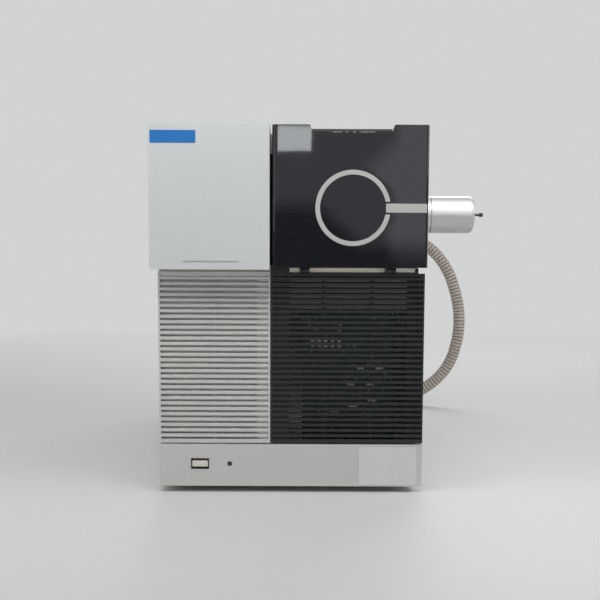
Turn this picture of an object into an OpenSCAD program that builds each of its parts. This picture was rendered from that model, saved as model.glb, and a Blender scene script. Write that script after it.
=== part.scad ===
// Bench-top triple-quadrupole mass spectrometer: cabinet, analyser and backing hose.
// Millimetres, +Z up, the front faces -Y. The origin is at bench level, under the centre
// of the instrument's envelope (the cabinet with its transfer line and hose port).

/* [Cabinet] */
// Width over the side panels
cabinet_w = 344; // [330:1:370]
// Depth from the lower front face to the rear panel's outer face
cabinet_d = 820; // [790:5:880]
// Height of the top cover above the bench
cabinet_h = 464; // [462:0.5:468]
// Thickness of the side panels, top cover and rear panel
skin_t = 1.5; // [1.2:0.1:2.2]
// Thickness of the chassis sheets: floor, front frame, wall and shelf
chassis_t = 2; // [1.5:0.1:3]
// How far the right side panel is inside the front's right edge
right_inset = 8.5; // [6:0.5:10]
// Open line between neighbouring covers
seam = 0.6; // [0.4:0.1:1]
// Height of the base pan's turned-up edges
pan_edge_h = 34; // [20:1:45]
// Width of the turned edges of the top cover
lip_w = 12; // [8:1:18]
// Height of the rubber feet
foot_h = 8; // [6:0.5:12]
// Radius of the rubber feet
foot_r = 16; // [12:1:20]
// Distance of each foot's centre from the cabinet's sides
foot_inset = 42; // [30:1:60]

/* [Lower front] */
// Height of the plinth panel
plinth_h = 56; // [50:1:60]
// Depth from the lower front face back to the front frame
front_depth = 10; // [9:0.5:13]
// Wall of the moulded front panels
moulding_t = 2.5; // [2:0.1:3]
// Where the light and dark halves of the front meet, from the middle
split_x = -27.2; // [-32:0.2:-22]
// Height of the upper section, from the light grille's top edge to the top cover
upper_h = 175.6; // [172:0.2:180]
// How much lower the dark grille's top edge is
dark_drop = 1.6; // [1:0.1:2]
// Open line between the plinth and the grilles
plinth_line = 1.6; // [0.6:0.1:2]
// Distance from slat to slat
slat_pitch = 7.07; // [6.9:0.01:7.12]
// Height of the open slot under each slat
slot_h = 2.7; // [1.8:0.1:3]
// Height of the bottom slot's middle above the plinth
first_slot = 8.1; // [6:0.1:9]
// Height of a slat's upright lip
slat_lip = 3; // [1.5:0.1:3]
// How far a slat's lip stands in front of its head
slat_slope = 2.2; // [1:0.1:3]
// Depth of the upright ribs behind the slats
rib_depth = 7; // [4:0.5:8.5]

/* [Upper front] */
// How far the upper covers stand in front of the lower front
cover_proud = 29.5; // [26:0.5:34]
// How far the upper covers rise above the top cover
cover_rise = 6; // [5:0.5:10]
// Open line between the light grille and its cover
cover_line = 2.8; // [2.6:0.2:5]
// Open line between the dark grille and the window
window_line = 7.2; // [6.8:0.1:8]
// How far the light cover stands out past the side panel
cover_overhang = 6.2; // [4:0.2:9]
// How far the light cover reaches back over the side and top
cover_wrap = 46; // [35:1:60]
// Gap between the light cover and the window
window_gap = 3.2; // [2.5:0.1:4]
// How far the window's right edge is inside the front's right edge
window_inset = 0.3; // [0.1:0.1:3]
// Round of the window's upright front edges
window_round = 5.5; // [4.5:0.5:8]
// Wall of the window
window_t = 3; // [2.5:0.1:4]
// Width of the notch in the window's top edge
notch_w = 106; // [80:1:120]
// Depth of the notch
notch_h = 10.2; // [8:0.2:12]
// Height of the latch pad's top above the notch's floor
latch_rise = 5.6; // [4:0.1:6]
// Travel of the latch pad
latch_travel = 3; // [1:0.5:4]
// Outer radius of the ring inlay
ring_r = 47; // [40:0.1:52]
// Width of the ring inlay
ring_w = 5.8; // [4:0.1:8]
// Height of the bar inlay
bar_h = 11; // [8:0.1:14]
// Thickness of the inlays
inlay_t = 0.8; // [0.5:0.1:1.2]
// Distance between the two hinge tabs
hinge_span = 109.2; // [90:0.2:130]
// Width of each hinge bracket
hinge_w = 12; // [10:0.5:14]
// Radius of the hinge pins
hinge_pin_r = 1.4; // [1:0.1:1.6]

/* [Analyser] */
// Analyser axis to the right of the cabinet's middle
analyser_x = 77; // [74:0.5:80]
// Analyser axis above the analyser shelf
analyser_rise = 74.8; // [72:0.2:76]
// Width and height of the vacuum chamber
chamber_w = 120; // [112:1:124]
// Length of the vacuum chamber
chamber_l = 600; // [560:5:620]
// Front face of the chamber, behind the lower front
chamber_y0 = 44; // [42:1:48]
// Wall of the chamber
chamber_t = 12; // [9:0.5:14]
// Radius of the turbo pump's body
turbo_r = 50; // [42:1:52]
// Length of the turbo pump below its flange
turbo_h = 150; // [120:5:170]
// Radius of the quadrupole rods
rod_r = 4.5; // [3.5:0.1:5]
// Radius of the open channel between the rods
channel_r = 4; // [3.5:0.1:4.4]

/* [Transfer line] */
// Transfer line behind the lower front
transfer_y = 112; // [105:1:125]
// Radius of the exposed sleeve
sleeve_r = 25.2; // [22:0.1:28]
// Wall of the sleeve
sleeve_t = 2; // [1.5:0.1:3]
// How far the sleeve stands out past the side panel
sleeve_reach = 87; // [70:0.5:120]
// Length of the collar between the side panel and the sleeve
collar_l = 27.5; // [25:0.5:40]
// How much smaller than the sleeve the collar's radius is
collar_step = 0.8; // [0.5:0.1:2]
// Round on the sleeve's outer edge
sleeve_round = 6.5; // [3:0.5:9]
// How far the tube stands out past the sleeve
tip_reach = 14.5; // [6:0.5:20]
// Radius of the transfer tube
tube_r = 1.6; // [1:0.1:1.8]

/* [Rear and electronics] */
// Side length of the fan frames
fan_w = 119; // [115:1:119]
// Depth of the fan frames
fan_t = 25; // [25:1:32]
// Height of the fans' axes above the bench
fan_z = 176; // [160:1:190]
// Number of fan blades
blade_count = 7; // [5:1:9]
// Height of the main board
board_h = 240; // [200:5:250]
// Length of the main board
board_l = 490; // [400:10:520]
// Distance of the boards behind the lower front
board_y0 = 70; // [60:1:80]
// Height of the power supply
supply_h = 72; // [60:1:80]
// Length of the power supply
supply_l = 182; // [150:1:200]
// Sideways place of the hose port, from the middle
port_x = 95; // [80:1:105]
// Height of the hose port
port_z = 390; // [385:1:394]
// Outer radius of the hose
hose_r = 12.5; // [12.5:0.1:12.6]
// Radius of a vacuum flange
flange_r = 20; // [18:0.5:22]

/* [Power button] */
// Width of the button
button_w = 20.7; // [16:0.1:21]
// Height of the button
button_h = 8.2; // [7:0.1:11]
// Travel of the button
button_travel = 2.5; // [1:0.5:4]

/* [Hidden] */
$fn = 48;
eps = 0.01;
half_w = cabinet_w / 2;
inner_x = half_w - skin_t;
body_x1 = half_w - right_inset;
body_in = body_x1 - skin_t;
floor_top = foot_h + chassis_t;
frame_y = front_depth;
frame_back = frame_y + chassis_t;
rear_in = cabinet_d - skin_t;
top_in = cabinet_h - skin_t;
plinth_top = foot_h + plinth_h;
grille_z0 = plinth_top + plinth_line;
grille_top = cabinet_h - upper_h;
dark_top = grille_top - dark_drop;
cover_top = cabinet_h + cover_rise;
cover_z0 = grille_top + cover_line;
window_z0 = dark_top + window_line;
fit_gap = 0.3;
run_gap = 0.05;

// Openings in the front frame
slats_z0 = plinth_top + first_slot + slot_h / 2;
slat_count = floor((dark_top - moulding_t - slats_z0 + slot_h) / slat_pitch);
slats_z1 = slats_z0 + slat_count * slat_pitch - slot_h;
blind_l = [split_x - 17, split_x - moulding_t];
blind_r = [split_x + seam + moulding_t, split_x + 24.6];
right_vent = [split_x + 22.6, body_x1 - 12, plinth_top + 4, dark_top - 46];
bay_margin = 14;
bay = [split_x + window_gap + bay_margin, body_x1 - bay_margin, window_z0 + 8, top_in - 22];

// Window and its hinge
window_x0 = split_x + window_gap;
window_x1 = half_w - window_inset;
window_cx = (window_x0 + window_x1) / 2;
window_y0 = -cover_proud;
window_back = frame_y - 2;
notch_floor = cover_top - notch_h;
notch_x0 = window_cx + 1.6 - notch_w / 2;
hinge_r = (window_z0 - dark_top) / 2 - 0.4;
hinge_z = dark_top + 0.4 + hinge_r;
hinge_y = window_y0 + window_t + fit_gap + hinge_r;
hinge_xs = [for (side = [-1, 1]) window_cx - 2.1 + side * hinge_span / 2];
tab_w = hinge_w / 2 - 0.6;
cheek_w = (hinge_w - tab_w) / 2 - fit_gap;
latch_top = notch_floor + latch_rise;
latch_y0 = window_y0 + window_t + fit_gap;
latch_y1 = window_back - 4;
latch_x0 = notch_x0 + fit_gap + 2.6;
latch_w = notch_w - 2 * (fit_gap + 2.6);
latch_t = 2.4;
tongue_w = 30;
tongue_z = latch_top - 12;
tongue_t = 2.5;

// Analyser
chamber_x0 = analyser_x - chamber_w / 2;
chamber_x1 = analyser_x + chamber_w / 2;
shelf_z = dark_top + 4.4;
shelf_top = shelf_z + chassis_t;
analyser_z = shelf_top + analyser_rise;
chamber_z0 = analyser_z - chamber_w / 2;
chamber_z1 = analyser_z + chamber_w / 2;
chamber_y1 = chamber_y0 + chamber_l;
chamber_mid = (chamber_y0 + chamber_y1) / 2;
chamber_floor = chamber_z0 + chamber_t;
end_plate_t = 10;
side_plate_t = 11;
seal_t = 1.6;
rod_offset = (rod_r + channel_r) / sqrt(2);
source_y = [transfer_y - 22, transfer_y + 22];
quad_l = 150;
cell_l = 90;
cell_y = [chamber_mid - cell_l / 2, chamber_mid + cell_l / 2];
front_quad_y = [cell_y[0] - 4 - quad_l, cell_y[0] - 4];
rear_quad_y = [cell_y[1] + 4, cell_y[1] + 4 + quad_l];
turbo_y = chamber_mid;
turbo_flange_r = chamber_w / 2;
turbo_flange_t = chamber_z0 - shelf_top - 1;

// Transfer line
flange_x1 = chamber_x1 + 10;
sleeve_x0 = body_x1 + collar_l;
sleeve_x1 = body_x1 + sleeve_reach;
neck_r = sleeve_r - 3;
heater_r = 10;
tip_x1 = sleeve_x1 + tip_reach;

// Rear
fan_x = [-half_w + 82, body_x1 - 82];
fan_hole_r = fan_w / 2 - 4.5;
blade_tip_r = fan_hole_r - 1.5;
guard_t = 1.5;
fan_hub_r = 21;
fan_shaft_r = 2;
elbow_r = 30;
elbow_y = cabinet_d + 12 + elbow_r;
pipe_r = 10;
hose_x0 = port_x + elbow_r + 22;

// Route of the backing hose, from its port to its free end, in the cabinet's own place
hose_y = elbow_y;
hose_route = [
    [hose_x0, hose_y, port_z], [160, hose_y, 390], [182, hose_y, 388.5], [204, hose_y, 384],
    [226, hose_y, 376.5], [248, hose_y, 366], [269, hose_y, 353], [291, hose_y, 338.5],
    [308.5, hose_y, 321.5], [322.5, hose_y, 302.5], [334.5, hose_y, 280.5], [343, hose_y, 257],
    [350, hose_y, 232.5], [354.5, hose_y, 207], [356, hose_y, 181], [354.5, hose_y, 155],
    [349.5, hose_y, 129.5], [342, hose_y, 104.5], [330, hose_y, 81.5], [313.5, hose_y, 61],
    [293, hose_y, 43.5], [269.5, hose_y, 29.5], [244, hose_y, 20], [218, hose_y, 14.8],
    [193, hose_y, 13], [165, hose_y - 0.5, 12.7], [135, hose_y - 2, 12.7], [105, hose_y - 4.5, 12.7],
    [75, hose_y - 7, 12.7], [45, hose_y - 9, 12.7], [15, hose_y - 10, 13.2], [-15, hose_y - 10, 15],
    [-45, hose_y - 10, 17.6], [-75, hose_y - 10, 19.6], [-100, hose_y - 10, 20.4], [-114, hose_y - 10, 20.4]];
hose_sides = 12;
hose_end = hose_route[len(hose_route) - 1];
hose_end_dir = hose_end - hose_route[len(hose_route) - 2];
end_tail = 34;

// Centre of the envelope, which becomes the origin
envelope_x0 = -half_w - cover_overhang;
envelope_x1 = tip_x1;
envelope_y0 = window_y0;
envelope_y1 = elbow_y + hose_r + 2.2;
envelope_cx = (envelope_x0 + envelope_x1) / 2;
envelope_cy = (envelope_y0 + envelope_y1) / 2;

light_grey = [0.80, 0.81, 0.80];
panel_grey = [0.74, 0.75, 0.74];
dark_plastic = [0.07, 0.07, 0.08];
gloss_black = [0.03, 0.03, 0.035];
chassis_beige = [0.72, 0.70, 0.65];
pale_inlay = [0.82, 0.81, 0.77];
bare_aluminium = [0.75, 0.76, 0.77];
bare_steel = [0.55, 0.56, 0.58];
rubber_black = [0.05, 0.05, 0.05];
hose_beige = [0.68, 0.64, 0.60];
board_green = [0.08, 0.30, 0.16];
ceramic_white = [0.90, 0.89, 0.85];

// ---- Helpers ----

// Moves a piece from the cabinet's own place (middle of the lower front edge) to the origin
module place() {
    translate([-envelope_cx, -envelope_cy, 0]) children();
}

// A box between two corners
module box(low, high) {
    translate(low) cube(high - low);
}

// A plate of x by z with round corners, as thick as t along +Y, its low corner at the origin
module rounded_plate(w, h, t, r) {
    translate([0, t, 0]) rotate([90, 0, 0]) linear_extrude(height = t) {
        translate([r, 0]) square([w - 2 * r, h]);
        translate([0, r]) square([w, h - 2 * r]);
        for (x = [r, w - r], z = [r, h - r]) translate([x, z]) circle(r = r);
    }
}

// Plan of a cover whose two upright front edges are round
module cover_plan(x0, x1, y0, y1, r) {
    translate([x0, y0 + r]) square([x1 - x0, y1 - y0 - r]);
    translate([x0 + r, y0]) square([x1 - x0 - 2 * r, y1 - y0]);
    for (x = [x0 + r, x1 - r]) translate([x, y0 + r]) circle(r = r);
}

// A cylinder along +Y or +X
module along_y(r, l, sides = 48) {
    rotate([-90, 0, 0]) cylinder(r = r, h = l, $fn = sides);
}
module along_x(r, l, sides = 48) {
    rotate([0, 90, 0]) cylinder(r = r, h = l, $fn = sides);
}

// A row of upright vent slots through a sheet that faces X, slot centres along Y
module side_slots(x, y0, z0, z1, count, pitch, w) {
    for (i = [0 : count - 1])
        box([x - 5, y0 + i * pitch, z0], [x + 5, y0 + i * pitch + w, z1]);
}

// Six-sided screw head facing -Y or +Y
module cap_head(r, h) {
    rotate([90, 0, 0]) difference() {
        cylinder(r = r, h = h, $fn = 24);
        translate([0, 0, h / 2]) cylinder(r = r * 0.5, h = h, $fn = 6);
    }
}

// ---- Cabinet ----

module base_pan() {
    color(chassis_beige) difference() {
        box([-inner_x, frame_back, foot_h], [body_in, rear_in, foot_h + pan_edge_h]);
        box([-inner_x + chassis_t, frame_back - 1, floor_top], [body_in - chassis_t, rear_in - chassis_t, cabinet_h]);
        for (i = [0 : 8])
            box([-60, 220 + i * 16, foot_h - 1], [60, 226 + i * 16, floor_top + 1]);
    }
}

module feet() {
    color(rubber_black)
        for (x = [-half_w + foot_inset, body_x1 - foot_inset], y = [frame_y + foot_inset, cabinet_d - foot_inset])
            translate([x, y, 0]) rotate_extrude() polygon([
                [0, 0], [foot_r - 1.5, 0], [foot_r, 1.5], [foot_r, foot_h], [0, foot_h]]);
}

module front_frame() {
    lip_y = 2;
    color(chassis_beige) difference() {
        union() {
            box([-inner_x, frame_y, floor_top], [body_in, frame_back, top_in]);
            // rolled lip that fills the line under the window
            box([blind_r[1] + fit_gap, lip_y, dark_top + fit_gap], [body_x1 - 4 - fit_gap, frame_y + eps, window_z0 - 2 * fit_gap]);
        }
        for (x = hinge_xs)
            box([x - hinge_w / 2 - fit_gap, lip_y - 1, dark_top], [x + hinge_w / 2 + fit_gap, frame_y, window_z0]);
        // slot behind the gap between the two covers
        box([split_x - 0.4, frame_y - 1, window_z0 + 3], [split_x + window_gap + 0.6, frame_back + 1, top_in - 24]);
        box([right_vent[0], frame_y - 1, right_vent[2]], [right_vent[1], frame_back + 1, right_vent[3]]);
        box([bay[0], frame_y - 1, bay[2]], [bay[1], frame_back + 1, bay[3]]);
        box([button_x - bezel_w / 2 - flange_w - fit_gap, frame_y - 1, button_z - button_h / 2 - 3.5 - fit_gap],
            [button_x + bezel_w / 2 + flange_w + fit_gap, frame_back + 1, button_z + button_h / 2 + 3.5 + fit_gap]);
        box([window_cx + 1.6 - tongue_w / 2 - 2, frame_y - 1, tongue_z - latch_travel - 2],
            [window_cx + 1.6 + tongue_w / 2 + 2, frame_back + 1, tongue_z + tongue_t + 2]);
    }
}

cable_way = 40;

module centre_wall() {
    wall_x = split_x - 3;
    color(chassis_beige) difference() {
        box([wall_x, frame_back, floor_top], [wall_x + chassis_t, rear_in - chassis_t - fit_gap, top_in - fit_gap]);
        // cable ways between the two sides
        for (w = [[200, 78], [480, shelf_top + 27]])
            box([wall_x - 1, w[0] - cable_way / 2, w[1]], [wall_x + chassis_t + 1, w[0] + cable_way / 2, w[1] + cable_way]);
    }
}

module analyser_shelf() {
    color(chassis_beige) difference() {
        box([split_x - 3 + chassis_t, frame_back, shelf_z], [body_in, rear_in - fit_gap, shelf_top]);
        translate([analyser_x, turbo_y, shelf_z - 1]) cylinder(r = turbo_r + 6, h = chassis_t + 2);
        translate([port_x, pipe_back_y, shelf_z - 1]) cylinder(r = pipe_r + 6, h = chassis_t + 2);
    }
}

module side_panel(outer, inner) {
    low = min(outer, inner);
    high = max(outer, inner);
    box([low, frame_y + seam, foot_h], [high, cabinet_d, top_in]);
}

module left_side_panel() {
    color(panel_grey) difference() {
        side_panel(-half_w, -inner_x);
        side_slots(-half_w, 480, 80, 200, 24, 11, 5);
    }
}

module right_side_panel() {
    color(panel_grey) difference() {
        side_panel(body_x1, body_in);
        side_slots(body_x1, 480, 80, 200, 24, 11, 5);
        translate([body_in - 1, transfer_y, analyser_z]) along_x(neck_r + fit_gap, skin_t + 2);
    }
}

module top_cover() {
    color(panel_grey) difference() {
        union() {
            box([-half_w, frame_y + seam, top_in], [body_x1, cabinet_d, cabinet_h]);
            box([-inner_x + fit_gap, frame_back + fit_gap, top_in - lip_w],
                [body_in - fit_gap, rear_in - fit_gap, top_in + eps]);
        }
        box([-inner_x + fit_gap + skin_t, frame_back + fit_gap + skin_t, top_in - lip_w - 1],
            [body_in - fit_gap - skin_t, rear_in - fit_gap - skin_t, top_in]);
        // room for the centre wall's top edge
        box([split_x - 4, frame_back - 1, top_in - lip_w - 1], [split_x + chassis_t - 2, rear_in, top_in]);
    }
}

module rear_panel() {
    color(panel_grey) difference() {
        box([-inner_x, rear_in, foot_h], [body_in, cabinet_d, top_in]);
        for (x = fan_x) translate([x, rear_in - 1, fan_z]) along_y(fan_hole_r, skin_t + 2);
        translate([port_x, rear_in - 1, port_z]) along_y(pipe_r + 4, skin_t + 2);
        box([inlet_x - 24, rear_in - 1, inlet_z - 14], [inlet_x + 24, cabinet_d + 1, inlet_z + 14]);
        for (s = socket_list)
            box([s[0] - s[2] / 2, rear_in - 1, socket_z - s[3] / 2], [s[0] + s[2] / 2, cabinet_d + 1, socket_z + s[3] / 2]);
        for (i = [0 : 13])
            box([-130 + i * 8, rear_in - 1, shelf_top + 7], [-126.5 + i * 8, cabinet_d + 1, top_in - 42]);
    }
}

// ---- Lower front ----

button_x = -half_w + 52.8;
button_z = foot_h + 29.7;
bezel_w = 23.5;
bezel_h = 14;
flange_w = 2.6;
lens_x = button_x + 39;
lens_w = 5.8;
lens_h = 5.2;

module plinth_panel() {
    color(light_grey) difference() {
        box([-half_w, 0, foot_h], [half_w, frame_y, plinth_top]);
        box([-half_w + moulding_t, moulding_t, foot_h + moulding_t], [half_w - moulding_t, frame_y + 1, plinth_top - moulding_t]);
        box([button_x - bezel_w / 2, -1, button_z - bezel_h / 2], [button_x + bezel_w / 2, moulding_t + 1, button_z + bezel_h / 2]);
        box([lens_x - lens_w / 2, -1, button_z - lens_h / 2], [lens_x + lens_w / 2, moulding_t + 1, button_z + lens_h / 2]);
    }
}

// Frame round the button, with a scooped front that slopes in to the button
module button_bezel() {
    scoop = 4.5;
    color(dark_plastic) difference() {
        union() {
            box([button_x - bezel_w / 2, 0.2, button_z - bezel_h / 2], [button_x + bezel_w / 2, frame_y, button_z + bezel_h / 2]);
            box([button_x - bezel_w / 2 - flange_w, moulding_t, button_z - bezel_h / 2 - flange_w],
                [button_x + bezel_w / 2 + flange_w, frame_y, button_z + bezel_h / 2 + flange_w]);
        }
        box([button_x - button_w / 2 - fit_gap, -1, button_z - button_h / 2 - fit_gap],
            [button_x + button_w / 2 + fit_gap, frame_y + 1, button_z + button_h / 2 + fit_gap]);
        translate([button_x - button_w / 2 - fit_gap, 0, button_z]) rotate([90, 0, 90]) linear_extrude(height = button_w + 2 * fit_gap)
            polygon([[-1, -bezel_h / 2 + 0.6], [0.2, -bezel_h / 2 + 0.6], [scoop, -button_h / 2], [scoop, button_h / 2],
                [0.2, bezel_h / 2 - 0.6], [-1, bezel_h / 2 - 0.6]]);
    }
}

module power_button() {
    color(ceramic_white) translate([button_x - button_w / 2, 0.6, button_z - button_h / 2])
        rounded_plate(button_w, button_h, frame_y - 0.6, 1.2);
}

module power_switch() {
    switch_y = frame_y + button_travel + fit_gap;
    color(dark_plastic) difference() {
        box([button_x - bezel_w / 2 - flange_w, frame_y, button_z - button_h / 2 - 3.5],
            [button_x + bezel_w / 2 + flange_w, switch_y + 22, button_z + button_h / 2 + 3.5]);
        box([button_x - button_w / 2 - fit_gap, frame_y - 1, button_z - button_h / 2 - fit_gap],
            [button_x + button_w / 2 + fit_gap, switch_y, button_z + button_h / 2 + fit_gap]);
    }
}

module status_lens() {
    color([0.1, 0.12, 0.11]) {
        box([lens_x - lens_w / 2, 0.2, button_z - lens_h / 2], [lens_x + lens_w / 2, moulding_t + eps, button_z + lens_h / 2]);
        box([lens_x - lens_w / 2 - 1.5, moulding_t, button_z - lens_h / 2 - 1.5],
            [lens_x + lens_w / 2 + 1.5, frame_y, button_z + lens_h / 2 + 1.5]);
    }
}

// Profile of one slat in (depth, height): a narrow foot in front and a head that leans back
module slat_profile() {
    slat_h = slat_pitch - slot_h;
    polygon([[0, 0], [0, slat_lip], [slat_slope, slat_h], [slat_slope + 1.8, slat_h], [1.8, slat_lip - 0.6], [1.4, 0]]);
}

// A grille moulding from x0 to x1 and z0 to z1, with ribs at the given places
module grille(x0, x1, z0, z1, ribs) {
    side_t = moulding_t;
    difference() {
        box([x0, 0, z0], [x1, frame_y, z1]);
        box([x0 + side_t, moulding_t, z0 + moulding_t], [x1 - side_t, frame_y + 1, z1 - moulding_t]);
        box([x0 + side_t, -1, slats_z0 - slot_h], [x1 - side_t, moulding_t + 1, slats_z1]);
        // blind groove over the top slat
        box([x0 + side_t, -1, slats_z1 - eps], [x1 - side_t, 1.4, slats_z1 + 3]);
    }
    for (i = [0 : slat_count - 1])
        translate([x0 + side_t - eps, 0, slats_z0 + i * slat_pitch])
            rotate([90, 0, 90]) linear_extrude(height = x1 - x0 - 2 * (side_t - eps)) slat_profile();
    for (x = ribs)
        box([x - 1.1, slat_slope + 1.2, z0 + moulding_t - eps], [x + 1.1, slat_slope + rib_depth - 2, z1 - moulding_t + eps]);
}

module light_grille() {
    color(light_grey) {
        grille(-half_w, split_x, grille_z0, grille_top, [-half_w + 72]);
        // the flange along the seam closes the slots' ends
        box([blind_l[0], slat_slope + 1.2, grille_z0 + moulding_t - eps], [blind_l[1] + eps, frame_y, grille_top - moulding_t + eps]);
    }
}

module dark_grille() {
    lug_top = window_z0 - 0.5;
    color(dark_plastic) {
        grille(split_x + seam, half_w, grille_z0, dark_top, [for (i = [0 : 2]) half_w - 5.5 - i * 62.4]);
        box([blind_r[0] - eps, slat_slope + 1.2, grille_z0 + moulding_t - eps], [blind_r[1], frame_y, dark_top - moulding_t + eps]);
        // return flange behind the slots' right ends, which stand out past the side panel
        box([body_in - 12, frame_y - 1.6, grille_z0 + moulding_t - eps],
            [half_w - moulding_t + eps, frame_y, dark_top - moulding_t + eps]);
        // lugs that close the line under the window
        for (x = [[split_x + seam, blind_r[1]], [body_x1 - 4, body_x1]])
            box([x[0], 0, dark_top - moulding_t], [x[1], 5, lug_top]);
    }
}

// ---- Upper front ----

module upper_left_cover() {
    x0 = -half_w - cover_overhang;
    hem = 2;
    color(light_grey) difference() {
        union() {
            difference() {
                box([x0, window_y0, cover_z0], [split_x, cover_wrap, cover_top]);
                box([x0 + moulding_t, window_y0 + moulding_t, cover_z0 + moulding_t],
                    [split_x - moulding_t, cover_wrap - hem, cover_top - moulding_t]);
                // the hem's inner edges lie on the side panel and the top cover
                box([-half_w, frame_y, cover_z0 - 1], [split_x + 1, cover_wrap + 1, cabinet_h]);
                box([split_x - moulding_t - eps, frame_y + fit_gap, cabinet_h - eps], [split_x + 1, cover_wrap + 1, cover_top + 1]);
            }
        }
        // finger groove near the bottom edge
        box([x0 + 42.4, window_y0 - 1, cover_z0 + 8.6], [x0 + 111.6, window_y0 + 1.2, cover_z0 + 10.8]);
        box([plate_x0, window_y0 - 1, plate_z1 - plate_h], [plate_x0 + plate_w, window_y0 + plate_seat, plate_z1]);
    }
}

plate_x0 = -half_w - cover_overhang + 2.4;
plate_z1 = cover_top - 7.4;
plate_w = 56.8;
plate_h = 15.5;
plate_seat = 0.5;

// Plain colour field in the cover's top corner
module colour_plate() {
    color([0.17, 0.44, 0.75]) box([plate_x0, window_y0 - 0.3, plate_z1 - plate_h], [plate_x0 + plate_w, window_y0 + plate_seat, plate_z1]);
}

// Outline of the notch in the window's top edge, in (x, z)
module notch_outline() {
    x1 = notch_x0 + notch_w;
    round_r = 5;
    polygon(concat(
        [[notch_x0, cover_top + 1], [notch_x0 + 3.2, notch_floor + 2], [notch_x0 + 5.2, notch_floor]],
        [for (a = [270 : 15 : 345]) [x1 - 2 - round_r + round_r * cos(a), notch_floor + round_r + round_r * sin(a)]],
        [[x1, cover_top + 1]]));
}

module ring_outline() {
    difference() {
        circle(r = ring_r, $fn = 96);
        circle(r = ring_r - ring_w, $fn = 96);
        translate([0, -bar_h / 2 - 2.4]) square([ring_r + 5, bar_h + 4.8]);
    }
}

// The bar follows the window's face and the round at its right end
module bar_shape() {
    proud = 0.1;
    intersection() {
        translate([0, 0, analyser_z - bar_h / 2]) linear_extrude(height = bar_h) difference() {
            cover_plan(window_x0 - proud, window_x1 + proud, window_y0 - proud, window_back, window_round + proud);
            cover_plan(window_x0 - proud + inlay_t, window_x1 + proud - inlay_t, window_y0 - proud + inlay_t,
                window_back + 1, window_round + proud - inlay_t);
        }
        box([bar_x0, window_y0 - 1, analyser_z - bar_h], [bar_x1, window_y0 + window_round, analyser_z + bar_h]);
    }
}

module inlay_place() {
    translate([analyser_x, window_y0 - 0.1 + inlay_t, analyser_z]) rotate([90, 0, 0])
        linear_extrude(height = inlay_t) children();
}

bar_x0 = analyser_x + ring_r - ring_w;
bar_x1 = window_x1 - 2;

module window_cover() {
    color(gloss_black) difference() {
        union() {
            difference() {
                translate([0, 0, window_z0]) linear_extrude(height = cover_top - window_z0)
                    cover_plan(window_x0, window_x1, window_y0, window_back, window_round);
                translate([0, 0, window_z0 + window_t]) linear_extrude(height = cover_top - window_z0 - 2 * window_t)
                    cover_plan(window_x0 + window_t, window_x1 - window_t, window_y0 + window_t,
                        window_back + 1, window_round - window_t + 0.5);
                // the lower lip is short
                box([window_x0 + window_t, hinge_y + hinge_r + 4, window_z0 - 1],
                    [window_x1 - window_t, window_back + 1, window_z0 + window_t + 1]);
                translate([0, window_back + 1, 0]) rotate([90, 0, 0])
                    linear_extrude(height = cover_proud + frame_y) notch_outline();
            }
            for (x = hinge_xs) {
                box([x - tab_w / 2, window_y0, hinge_z], [x + tab_w / 2, hinge_y + hinge_r, window_z0 + eps]);
                translate([x - tab_w / 2, hinge_y, hinge_z]) along_x(hinge_r, tab_w);
            }
            // guides for the latch pad
            for (x = [latch_x0 - fit_gap - 2, latch_x0 + latch_w + fit_gap])
                box([x, window_y0 + window_t - eps, notch_floor - 16], [x + 2, latch_y1, notch_floor - 1]);
        }
        for (x = hinge_xs)
            translate([x - tab_w / 2 - 1, hinge_y, hinge_z]) along_x(hinge_pin_r + run_gap, tab_w + 2);
        inlay_place() ring_outline();
        bar_shape();
    }
}

module window_inlays() {
    color(pale_inlay) {
        inlay_place() ring_outline();
        bar_shape();
    }
}

module hinge_brackets() {
    color(dark_plastic) difference() {
        for (x = hinge_xs) {
            box([x - hinge_w / 2, hinge_y + hinge_r + 0.6, hinge_z - hinge_r], [x + hinge_w / 2, frame_y, hinge_z + hinge_r]);
            for (s = [x - hinge_w / 2, x + hinge_w / 2 - cheek_w]) {
                translate([s, hinge_y, hinge_z]) along_x(hinge_r, cheek_w);
                box([s, hinge_y, hinge_z - hinge_r], [s + cheek_w, hinge_y + hinge_r + 1, hinge_z + hinge_r]);
            }
        }
        for (x = hinge_xs)
            translate([x - hinge_w / 2 - 1, hinge_y, hinge_z]) along_x(hinge_pin_r, hinge_w + 2);
    }
}

module hinge_pins() {
    color(bare_steel)
        for (x = hinge_xs)
            translate([x - hinge_w / 2, hinge_y, hinge_z]) along_x(hinge_pin_r, hinge_w);
}

module cover_latch() {
    color(dark_plastic) {
        difference() {
            box([latch_x0, latch_y0, notch_floor - 10], [latch_x0 + latch_w, latch_y1, latch_top]);
            box([latch_x0 + latch_t, latch_y0 + latch_t, notch_floor - 11],
                [latch_x0 + latch_w - latch_t, latch_y1 - latch_t, latch_top - latch_t]);
            // rounded front and rear edges
            for (y = [latch_y0, latch_y1]) translate([latch_x0 - 1, y, latch_top]) rotate([45, 0, 0])
                translate([0, -1.6, -1.6]) cube([latch_w + 2, 3.2, 3.2]);
        }
        box([window_cx + 1.6 - tongue_w / 2, latch_y1 - eps, tongue_z], [window_cx + 1.6 + tongue_w / 2, frame_back, tongue_z + tongue_t]);
    }
}

// ---- Analyser ----

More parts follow.
